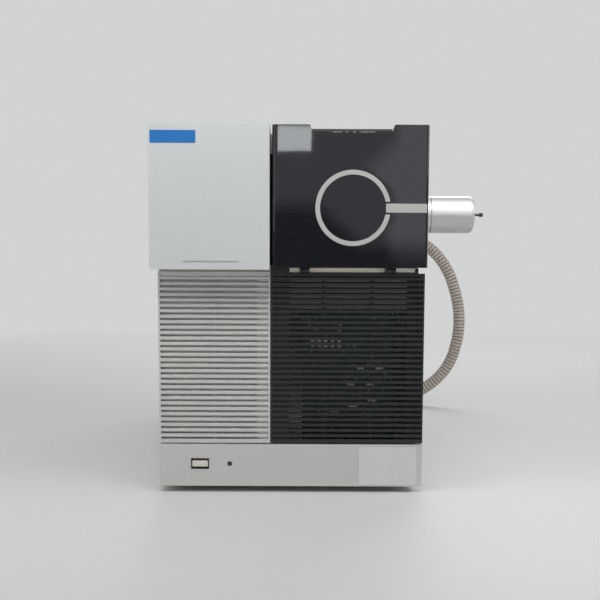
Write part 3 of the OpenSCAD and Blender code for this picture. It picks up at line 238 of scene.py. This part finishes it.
def hoseSkin(start, where, s):  # ribbed hose: painted shade darkens the grooves, the crests are rubbed
    groove = start.node("ShaderNodeAttribute", {"attribute_name": "groove"}, {}, "Fac")
    cloud = start.noise(where, 22, 4, 0.6)
    fine = start.noise(where, 1100, 2, 0.6)
    skin = cloud.clip(0.3, 0.7).mix(s["colour"], s["second"])
    return {
        # painted shade: the colour is darkened in the grooves by their depth
        "Base Color": (groove * (0.75 + cloud * 0.4)).mix(skin, s["grooveShade"]),
        "Roughness": s["roughness"] + (fine - 0.5) * 0.15 + groove * 0.15,
        "Specular IOR Level": 0.4,
        "Normal": start.bump(fine, 0.12, 0.0003),
    }


def laminate(start, where, s):  # circuit board: green varnish over fine tracks and pads
    tracks = start.node("ShaderNodeTexWave", {"bands_direction": "Z"},
                        {"Vector": where, "Scale": 150.0, "Distortion": 0.0})
    bricks = {"Vector": start.stretched(where, (90, 60, 60)), "Scale": 1.0, "Mortar Size": 0.04}
    lanes = start.node("ShaderNodeTexBrick", {}, bricks, "Fac")
    copper = tracks.clip(0.55, 0.65) * (1 - lanes)
    pads = start.node("ShaderNodeTexVoronoi", {"feature": "DISTANCE_TO_EDGE"},
                      {"Vector": where, "Scale": 160.0}, 0).clip(0.34, 0.30)
    base = (copper * 0.5).mix(s["colour"], tone(66, 122, 74))
    return {
        "Base Color": ((1 - pads) * 0.8).mix(base, tone(168, 166, 150)),
        "Roughness": s["roughness"] + copper * 0.05,
        "Normal": start.bump(copper, 0.2, 0.0002),
    }


def clearGlass(start, where, s):
    smear = start.noise(where, 70, 4, 0.6).clip(0.45, 0.8)
    return {
        "Base Color": s["colour"],
        "Roughness": 0.02 + smear * 0.05,
        "Transmission Weight": s["clear"],
        "IOR": 1.48,
        "Normal": start.bump(start.noise(where, 40, 2, 0.5), 0.03, 0.0004),
    }


def printedFilm(start, where, s):  # thin printed or plain film with a slightly wavy skin
    wave = start.noise(where, 55, 2, 0.5)
    return {
        "Base Color": wave.clip(0.35, 0.7).mix(s["colour"], darker(s["colour"], 0.96)),
        "Roughness": s["roughness"] + (wave - 0.5) * 0.12,
        "Normal": start.bump(wave, 0.10, 0.0004),
    }


finishes = {
    "lightPanel": (moulded, {"colour": tone(199, 202, 203), "grain": 1500, "mottle": 0.02, "dust": 0.0,
                             "roughness": 0.46, "shine": 0.35, "depth": 0.16}),
    "lowerPanel": (moulded, {"colour": tone(191, 193, 189), "grain": 1500, "mottle": 0.03, "dust": 0.0,
                             "roughness": 0.48, "shine": 0.35, "depth": 0.16}),
    "sidePaint": (powderCoat, {"colour": tone(192, 194, 192), "roughness": 0.48}),
    "darkPlastic": (moulded, {"colour": tone(26, 27, 30), "grain": 1500, "mottle": 0.12, "dust": 0.08,
                              "roughness": 0.44, "shine": 0.42, "depth": 0.22}),
    "windowGloss": (acrylic, {"colour": tone(20, 22, 26), "roughness": 0.025, "shine": 0.5}),
    "chassisSheet": (powderCoat, {"colour": tone(222, 214, 200), "roughness": 0.5}),
    # the front frame's sheet, with painted shade behind the grilles
    "frameSheet": (frontSheetPaintedShade, {"colour": tone(240, 232, 217), "shadeBehindDarkGrille": tone(112, 110, 107),
                                "shadeBehindLightGrille": tone(188, 186, 181), "edge": 0.2885, "split": -0.064,
                                "roughness": 0.5}),
    "inlay": (printedFilm, {"colour": tone(179, 180, 174), "roughness": 0.42}),
    "blueField": (printedFilm, {"colour": tone(24, 106, 178), "roughness": 0.4}),
    "aluminium": (castMetal, {"colour": tone(206, 208, 210), "roughness": 0.34}),
    "turnedAluminium": (brushed, {"colour": tone(214, 214, 213), "streaks": (1500, 12, 12),
                                  "mottle": 0.18, "roughness": 0.32, "spread": 0.2, "depth": 0.16}),
    "steel": (brushed, {"colour": tone(178, 178, 177), "streaks": (60, 60, 900), "mottle": 0.14,
                        "roughness": 0.30, "spread": 0.18, "depth": 0.12}),
    "platedSteel": (brushed, {"colour": tone(190, 190, 186), "streaks": (900, 60, 60), "mottle": 0.12,
                              "roughness": 0.26, "spread": 0.16, "depth": 0.10}),
    "rubber": (softRubber, {"colour": tone(28, 28, 29), "roughness": 0.72}),
    "hoseRubber": (hoseSkin, {"colour": tone(200, 191, 181), "second": tone(188, 176, 167),
                              "grooveShade": tone(92, 86, 82), "roughness": 0.58}),
    "board": (laminate, {"colour": tone(18, 62, 38), "roughness": 0.36}),
    "boardChips": (moulded, {"colour": tone(38, 38, 40), "grain": 2400, "mottle": 0.1, "dust": 0.05,
                             "roughness": 0.5, "shine": 0.4, "depth": 0.12}),
    "connectorWhite": (moulded, {"colour": tone(216, 212, 198), "grain": 1800, "mottle": 0.05,
                                 "dust": 0.05, "roughness": 0.45, "shine": 0.4, "depth": 0.1}),
    "ceramic": (moulded, {"colour": tone(226, 222, 210), "grain": 1600, "mottle": 0.06, "dust": 0.0,
                          "roughness": 0.5, "shine": 0.4, "depth": 0.1}),
    "clearGlass": (clearGlass, {"colour": tone(236, 242, 241), "clear": 1.0}),
    "lens": (moulded, {"colour": tone(40, 46, 42), "grain": 900, "mottle": 0.1, "dust": 0.0,
                       "roughness": 0.22, "shine": 0.5, "depth": 0.03}),
    "buttonCream": (moulded, {"colour": tone(214, 207, 197), "grain": 1300, "mottle": 0.04, "dust": 0.0,
                              "roughness": 0.42, "shine": 0.4, "depth": 0.12}),
    "brass": (castMetal, {"colour": tone(190, 164, 104), "roughness": 0.36}),
    "darkSteel": (castMetal, {"colour": tone(74, 66, 60), "roughness": 0.42}),
    "label": (printedFilm, {"colour": tone(206, 206, 205), "roughness": 0.3}),
    "mark": (printedFilm, {"colour": tone(150, 150, 150), "roughness": 0.5}),
}
for name, (recipe, settings) in finishes.items():
    makeMaterial(name, recipe, settings)

wears = {
    "lightPanel": "upper_left_cover",
    "lowerPanel": "plinth_panel light_grille",
    "sidePaint": "left_side_panel right_side_panel top_cover rear_panel",
    "darkPlastic": "button_bezel power_switch dark_grille hinge_brackets cover_latch vent_knob "
                   "left_fan_frame left_fan_rotor right_fan_frame right_fan_rotor mains_inlet rear_sockets",
    "windowGloss": "window_cover",
    "chassisSheet": "base_pan centre_wall analyser_shelf",
    "frameSheet": "front_frame",
    "inlay": "window_inlays",
    "blueField": "colour_plate",
    "aluminium": "vacuum_chamber side_plates collision_cell turbo_pump transfer_flange",
    "turnedAluminium": "transfer_collar transfer_sleeve",
    "steel": "chamber_end_plate side_plate_screws calibrant_valve ion_source detector "
             "hinge_pins power_supply",
    "platedSteel": "front_quadrupole rear_quadrupole backing_pipe fan_guards hose_port hose_end_flange",
    "rubber": "feet side_plate_seals",
    "board": "main_board valve_board",
    "boardChips": "board_parts",
    "connectorWhite": "valve_board_parts",
    "ceramic": "rod_holders",
    "clearGlass": "viewport_glass calibrant_vial",
    "lens": "status_lens",
    "buttonCream": "power_button",
    "brass": "transfer_heater",
    "darkSteel": "transfer_tube",
    "hoseRubber": "backing_hose",
}
for finish, wearers in wears.items():
    for name in wearers.split():
        for materialSlot in nodes[name].material_slots:
            materialSlot.material = materials[finish]
print("materials made,", len(materials))


# Some mesh operators order what they make by memory address, so what they made is put in a fixed order
def inOrder(form, turned=False):
    corners = sorted(form.verts, key=lambda v: v.co[:])
    rank = {corner: number for number, corner in enumerate(corners)}
    rings = []
    for face in form.faces:
        ring = [rank[v] for v in face.verts]
        start = ring.index(min(ring))
        fromLowest = ring[start:] + ring[:start]
        # turned: a flat cap's first corner is fixed too, because the split into triangles starts there
        rings.append((fromLowest, fromLowest if turned and len(ring) > 4 else ring))
    ordered = bmesh.new()
    floats = form.verts.layers.float
    layers = [(layer, ordered.verts.layers.float.new(name)) for name, layer in floats.items()]
    for corner in corners:
        copy = ordered.verts.new(corner.co)
        for old, new in layers:
            copy[new] = corner[old]
    ordered.verts.ensure_lookup_table()
    for _, ring in sorted(rings):
        ordered.faces.new([ordered.verts[number] for number in ring])
    ordered.normal_update()
    form.free()
    return ordered


def finished(name, form, finish, body, sharp=35):  # a bmesh becomes a piece that rides on a body
    for edge in form.edges:
        edge.smooth = len(edge.link_faces) == 2 and edge.calc_face_angle(0) < math.radians(sharp)
    for face in form.faces:
        face.smooth = True
    mesh = bpy.data.meshes.new(name)
    form.to_mesh(mesh)
    form.free()
    mesh.materials.append(materials[finish])
    piece = bpy.data.objects.new(name, mesh)
    scene.collection.objects.link(piece)
    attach(piece, body)
    return piece


def softened(node, name, finish, body, width, segments=2, sharp=30, eased=None):
    form = bmesh.new()  # the node's own shape, with its outer edges eased
    form.from_mesh(nodes[node].data)
    bmesh.ops.remove_doubles(form, verts=form.verts, dist=0.00001)
    bmesh.ops.dissolve_limit(form, angle_limit=math.radians(0.6), verts=form.verts, edges=form.edges)
    weight = form.edges.layers.float.new("bevel_weight_edge")
    for edge in form.edges:
        if len(edge.link_faces) == 2 and edge.is_convex and edge.calc_face_angle() > math.radians(sharp):
            middle = (edge.verts[0].co + edge.verts[1].co) / 2
            edge[weight] = 1.0 if eased is None or eased(middle) else 0.0
    piece = finished(name, form, finish, body, sharp)
    if width:
        bevel = piece.modifiers.new("easedEdges", "BEVEL")
        bevel.width = width
        bevel.segments = segments
        bevel.limit_method = "WEIGHT"
        bevel.use_clamp_overlap = True
        bevel.harden_normals = True
    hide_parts(node)
    return piece


# Hose: one sweep of ribs along its route, from the port on the rear to the free end's flange
hose = {
    "radius": 0.0125,
    "grooveDepth": 0.0017,
    "pitch": 0.007,
    "sides": 28,
    "length": 0.903,
    "route": [(147, 862, 390), (160, 862, 390), (182, 862, 388.5), (204, 862, 384), (226, 862, 376.5),
              (248, 862, 366), (269, 862, 353), (291, 862, 338.5), (308.5, 862, 321.5),
              (322.5, 862, 302.5), (334.5, 862, 280.5), (343, 862, 257), (350, 862, 232.5),
              (354.5, 862, 207), (356, 862, 181), (354.5, 862, 155), (349.5, 862, 129.5),
              (342, 862, 104.5), (330, 862, 81.5), (313.5, 862, 61), (293, 862, 43.5),
              (269.5, 862, 29.5), (244, 862, 20), (218, 862, 14.8), (193, 862, 13), (165, 861.5, 12.7),
              (135, 860, 12.7), (105, 857.5, 12.7), (75, 855, 12.7), (45, 853, 12.7), (15, 852, 13.2),
              (-15, 852, 15), (-45, 852, 17.6), (-75, 852, 19.6), (-100, 852, 20.4), (-114, 852, 20.4)],
    # place along a rib, share of the groove's depth
    "rib": [(0.0, 1.0), (0.14, 0.25), (0.30, 0.0), (0.70, 0.0), (0.86, 0.25)],
}


def smoothLine(points, steps):  # a curve through all the points
    line = []
    for i in range(len(points) - 1):
        a, b = points[i], points[i + 1]
        before = points[i - 1] if i else a * 2 - b
        after = points[i + 2] if i + 2 < len(points) else b * 2 - a
        for k in range(steps):
            t = k / steps
            line.append(0.5 * (2 * a + (b - before) * t + (2 * before - 5 * a + 4 * b - after) * t * t
                               + (3 * a - before - 3 * b + after) * t ** 3))
    line.append(points[-1])
    return line


def walked(line):  # running length at each point
    lengths = [0.0]
    for a, b in zip(line, line[1:]):
        lengths.append(lengths[-1] + (b - a).length)
    return lengths


def makeHose():
    line = smoothLine([at(*p) for p in hose["route"]], 12)
    lengths = walked(line)
    ribs = round(lengths[-1] / hose["pitch"])
    pitch = lengths[-1] / ribs
    stations = [((i + share) * pitch, dip) for i in range(ribs) for share, dip in hose["rib"]]
    stations.append((lengths[-1], 1.0))
    form = bmesh.new()
    groove = form.verts.layers.float.new("groove")
    ring = bmesh.ops.create_circle(form, cap_ends=False, radius=1, segments=hose["sides"])["verts"]
    edges = form.edges[:]
    side = Vector((0, 1, 0))
    index = 0
    last = Matrix.Identity(4)
    for number, (distance, dip) in enumerate(stations):
        while index < len(lengths) - 2 and lengths[index + 1] < distance:
            index += 1
        share = (distance - lengths[index]) / max(lengths[index + 1] - lengths[index], 1e-9)
        centre = line[index].lerp(line[index + 1], share)
        ahead = (line[min(index + 2, len(line) - 1)] - line[max(index - 1, 0)]).normalized()
        side = (side - ahead * side.dot(ahead)).normalized()
        up = ahead.cross(side)
        radius = hose["radius"] - dip * hose["grooveDepth"]
        turned = Matrix((side, up, ahead)).transposed().to_4x4()
        here = Matrix.Translation(centre) @ turned @ Matrix.Diagonal((radius, radius, radius, 1))
        if number:
            grown = bmesh.ops.extrude_edge_only(form, edges=edges)["geom"]
            ring = [g for g in grown if isinstance(g, bmesh.types.BMVert)]
            edges = [g for g in grown if isinstance(g, bmesh.types.BMEdge)]
            edges = [e for e in edges if all(v in ring for v in e.verts)]
        bmesh.ops.transform(form, matrix=here @ last.inverted(), verts=ring)
        for vert in ring:
            vert[groove] = dip
        last = here
    bmesh.ops.holes_fill(form, edges=[e for e in form.edges if e.is_boundary], sides=0)
    bmesh.ops.recalc_face_normals(form, faces=form.faces)
    piece = finished("backingHose", inOrder(form), "hoseRubber", "cabinet", 60)
    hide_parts("backing_hose")
    path = line[::4] + ([line[-1]] if (len(line) - 1) % 4 else [])
    print("hose made,", ribs, "ribs,", round(lengths[-1], 4), "m")


makeHose()

# Covers with eased edges
ring = {"centre": at(77, -29.5, 368), "reach": 0.0485, "bar": (-0.0065, 0.0065)}


def clearOfInlays(place):
    across, up = place.x - ring["centre"].x, place.z - ring["centre"].z
    inRing = math.hypot(across, up) < ring["reach"]
    inBar = across > 0 and ring["bar"][0] < up < ring["bar"][1]
    return not (inRing or inBar)


softened("window_cover", "windowShell", "windowGloss", "window", 0.0010, 3, 30, clearOfInlays)
softened("upper_left_cover", "upperCover", "lightPanel", "cabinet", 0.0013, 3)
softened("plinth_panel", "plinthPanel", "lowerPanel", "cabinet", 0.0009, 2)
softened("cover_latch", "coverLatch", "darkPlastic", "latch", 0.0005, 2)
softened("power_button", "powerButton", "buttonCream", "button", 0.0006, 3)
softened("top_cover", "topCover", "sidePaint", "cabinet", 0.0005, 2)
softened("left_side_panel", "leftSide", "sidePaint", "cabinet", 0.0004, 1)
softened("right_side_panel", "rightSide", "sidePaint", "cabinet", 0.0004, 1)
softened("transfer_sleeve", "transferSleeve", "turnedAluminium", "cabinet", 0.0, 2, 40)
softened("transfer_collar", "transferCollar", "turnedAluminium", "cabinet", 0.0004, 2)
print("covers made")


# Blank film label on the plinth's right end
plinthLabel = {"x": (89.6, 164.7), "z": (10.7, 60.4), "thick": 0.15, "round": 1.6}


def makeLabel():
    s = plinthLabel
    form = bmesh.new()
    size = ((s["x"][1] - s["x"][0]) / 1000, (s["z"][1] - s["z"][0]) / 1000)
    upright = Matrix.Rotation(math.pi / 2, 4, "X")
    bmesh.ops.create_grid(form, x_segments=1, y_segments=1, size=0.5, matrix=upright)
    bmesh.ops.scale(form, vec=(size[0], 1, size[1]), verts=form.verts)
    bmesh.ops.bevel(form, geom=form.verts[:], offset=s["round"] / 1000, segments=5, profile=0.5,
                    affect="VERTICES", material=-1)
    bmesh.ops.solidify(form, geom=form.faces[:], thickness=s["thick"] / 1000)
    bmesh.ops.recalc_face_normals(form, faces=form.faces)
    high = max(v.co.y for v in form.verts)
    middle = at(sum(s["x"]) / 2, -0.02, sum(s["z"]) / 2)
    bmesh.ops.translate(form, vec=middle - Vector((0, high, 0)), verts=form.verts)
    finished("plinthLabel", inOrder(form), "label", "cabinet")


makeLabel()

# Small marks on the latch's front: a stroke, two press arrows and a stroke
latchMarks = {
    "z": (460.7, 462.2),
    "y": -26.2,
    "strokes": [(51.0, 63.0), (85.5, 104.5)],
    "arrows": [68.6, 78.1],
    "arrowReach": 1.5,
    "strokeHeight": 0.55,  # share of the marks' height
    "thick": 0.1,
    "sunk": 0.02,
}


def makeLatchMarks():
    s = latchMarks
    form = bmesh.new()
    low, high = s["z"]
    shapes = [(4, (a + b) / 2, (b - a) / 2) for a, b in s["strokes"]]
    shapes += [(3, x, s["arrowReach"]) for x in s["arrows"]]
    for corners, middle, reach in shapes:
        if corners == 4:
            made = bmesh.ops.create_grid(form, x_segments=1, y_segments=1, size=0.5)["verts"]
            size = (2 * reach / 1000, s["strokeHeight"] * (high - low) / 1000, 1)
            bmesh.ops.scale(form, vec=size, verts=made)
        else:
            made = bmesh.ops.create_circle(form, cap_ends=True, segments=3, radius=reach / 1000)["verts"]
        bmesh.ops.rotate(form, matrix=Matrix.Rotation(math.pi / 2, 3, "X"), verts=made)
        bmesh.ops.translate(form, vec=at(middle, s["y"], (low + high) / 2), verts=made)
    bmesh.ops.solidify(form, geom=form.faces[:], thickness=s["thick"] / 1000)
    bmesh.ops.recalc_face_normals(form, faces=form.faces)
    near = max(v.co.y for v in form.verts)
    bmesh.ops.translate(form, vec=(0, at(0, s["y"] + s["sunk"], 0).y - near, 0), verts=form.verts)
    finished("latchMarks", inOrder(form), "mark", "latch")


makeLatchMarks()

# Low-head screws that hold the side and rear panels
panelScrews = {
    "radius": 3.6, "height": 0.6, "socket": 1.6, "deep": 0.45, "eased": 0.2,
    "left": [(y, z) for y in (34, 290, 545, 801) for z in (20, 442)],
    "right": [(y, z) for y in (34, 290, 545, 801) for z in (20, 442)],
    "rear": [(x, z) for x in (-164, 156) for z in (18, 234, 442)],
    "faces": {"left": -172, "right": 163.5, "rear": 820},
}


def makePanelScrews():
    s = panelScrews
    form = bmesh.new()
    turns = {
        "left": Matrix.Rotation(-math.pi / 2, 3, "Y"),
        "right": Matrix.Rotation(math.pi / 2, 3, "Y"),
        "rear": Matrix.Rotation(-math.pi / 2, 3, "X"),
    }
    for side, turned in turns.items():
        face = s["faces"][side]
        for first, z in s[side]:
            before = set(form.verts)
            radius, height = s["radius"] / 1000, s["height"] / 1000
            bmesh.ops.create_cone(form, cap_ends=True, segments=20, radius1=radius, radius2=radius,
                                  depth=height)
            made = [v for v in form.verts if v not in before]
            top = max({f for v in made for f in v.link_faces}, key=lambda f: f.calc_center_median().z)
            rim = list(top.edges)
            bmesh.ops.inset_region(form, faces=[top], thickness=(s["radius"] - s["socket"]) / 1000)
            sunk = bmesh.ops.extrude_discrete_faces(form, faces=[top])["faces"]
            floor = list({v for f in sunk for v in f.verts})
            bmesh.ops.translate(form, vec=(0, 0, -s["deep"] / 1000), verts=floor)
            bmesh.ops.bevel(form, geom=rim, offset=s["eased"] / 1000, segments=2, profile=0.5,
                            affect="EDGES", material=-1)
            made = [v for v in form.verts if v not in before]
            bmesh.ops.translate(form, vec=(0, 0, s["height"] / 2000), verts=made)
            bmesh.ops.rotate(form, matrix=turned, verts=made)
            place = at(first, face, z) if side == "rear" else at(face, first, z)
            bmesh.ops.translate(form, vec=place, verts=made)
    bmesh.ops.recalc_face_normals(form, faces=form.faces)
    finished("panelScrews", inOrder(form, turned=True), "platedSteel", "cabinet")


makePanelScrews()
print("label, marks and screws made")


# Stage: pale floor that fades into the backdrop, and soft studio light
stageSettings = {
    "floor": tone(212, 213, 212),
    "backdrop": (0.64, 0.65, 0.645, 1),
    "ambient": 0.31,
    "fade": (0.9, 3.2),
    "roomDark": 0.12,
    "roomLight": 0.62,
    "roomSide": 0.75,
    "ceiling": 1.5,
}


def makeStage():
    s = stageSettings
    form = bmesh.new()
    bmesh.ops.create_circle(form, cap_ends=True, radius=40, segments=96)
    mesh = bpy.data.meshes.new("floor")
    form.to_mesh(mesh)
    form.free()
    floor = bpy.data.objects.new("floor", mesh)
    scene.collection.objects.link(floor)
    material = bpy.data.materials.new("floor")
    material.use_nodes = True
    material.node_tree.nodes.clear()
    start = Wire(material.node_tree)
    where = start.node("ShaderNodeTexCoord", output="Object")
    away = start.node("ShaderNodeVectorMath", {"operation": "LENGTH"}, {0: where}, "Value").clip(*s["fade"])
    path = start.tree.nodes.new("ShaderNodeLightPath")
    byCamera = Wire(start.tree, path.outputs["Is Camera Ray"])
    seen = start.maths("MAXIMUM", byCamera, Wire(start.tree, path.outputs["Is Glossy Ray"]))
    seen = start.maths("MAXIMUM", seen, Wire(start.tree, path.outputs["Is Transmission Ray"]))
    roughness = 0.55 + start.noise(where, 40, 3, 0.5) * 0.1
    plain = start.node("ShaderNodeBsdfPrincipled", {}, {"Base Color": s["floor"], "Roughness": roughness})
    glow = start.node("ShaderNodeEmission", {}, {"Color": s["backdrop"], "Strength": 1.0})
    surface = start.node("ShaderNodeMixShader", {}, {0: away * seen, 1: plain, 2: glow})
    start.node("ShaderNodeOutputMaterial", {}, {"Surface": surface})
    mesh.materials.append(material)

    world = bpy.data.worlds.new("studio")
    scene.world = world
    world.use_nodes = True
    world.node_tree.nodes.clear()
    start = Wire(world.node_tree)
    path = start.tree.nodes.new("ShaderNodeLightPath")
    towards = start.node("ShaderNodeTexCoord", output="Generated")
    east, back, high = (start.node("ShaderNodeSeparateXYZ", {}, {0: towards}, axis) for axis in (0, 1, 2))
    glossy = Wire(start.tree, path.outputs["Is Glossy Ray"])
    # the room in front, as glossy faces see it: darker low on the left, lighter on the right
    sill = 0.055 - 0.037 * east.clip(0.02, 0.06)
    side = east.clip(0.088, 0.118) * high.clip(0.0, 0.03) * s["roomSide"]
    room = s["roomDark"] + (high - sill).clip(0, 0.02) * s["roomLight"] + side
    byCamera = Wire(start.tree, path.outputs["Is Camera Ray"])
    seen = start.maths("MAXIMUM", byCamera, Wire(start.tree, path.outputs["Is Transmission Ray"]))
    seen = start.maths("MAXIMUM", seen, glossy * back.clip(-0.1, 0.35))
    dim = s["ambient"]
    front = start.node("ShaderNodeCombineColor", {}, {0: room * 0.96, 1: room, 2: room * 1.06})
    colour = (glossy * (0 - back).clip(0.5, 0.8)).mix((dim, dim, dim * 1.01, 1), front)
    over = s["ceiling"]
    colour = (glossy * high.clip(0.45, 0.8)).mix(colour, (over, over, over, 1))
    colour = seen.mix(colour, s["backdrop"])
    background = start.node("ShaderNodeBackground", {}, {"Color": colour, "Strength": 1.0})
    start.node("ShaderNodeOutputWorld", {}, {"Surface": background})


def makeLamp(name, place, target, size, power, colour=(1, 1, 1), inGloss=True, inDiffuse=True):
    data = bpy.data.lights.new(name, "AREA")
    data.shape = "RECTANGLE"
    data.size, data.size_y = size
    data.energy = power
    data.color = colour
    lamp = bpy.data.objects.new(name, data)
    lamp.location = place
    lamp.rotation_euler = (Vector(target) - Vector(place)).to_track_quat("-Z", "Y").to_euler()
    lamp.visible_camera = False
    lamp.visible_glossy = inGloss
    lamp.visible_diffuse = inDiffuse
    scene.collection.objects.link(lamp)


makeStage()
makeLamp("keyLamp", (0.0, -0.84, 0.98), (0, -0.42, 0.40), (1.3, 0.3), 5.3)
makeLamp("lowLamp", (0.0, -3.2, 0.16), (0, -0.4, 0.25), (2.2, 0.2), 7.6, inGloss=False)
makeLamp("leftLamp", (-2.6, -1.2, 1.3), (0, -0.2, 0.25), (1.6, 1.8), 18)
makeLamp("rightLamp", (2.7, -0.4, 1.5), (0, 0, 0.25), (1.6, 1.8), 18)
makeLamp("backLamp", (0.4, 2.6, 2.0), (0, 0.2, 0.25), (2.2, 1.4), 34)
makeLamp("roomPanel", at(-77, -2030, 715), at(-77, 0, 715), (0.245, 0.079), 0.52, (0.93, 0.97, 1.0),
         inDiffuse=False)
print("stage made")
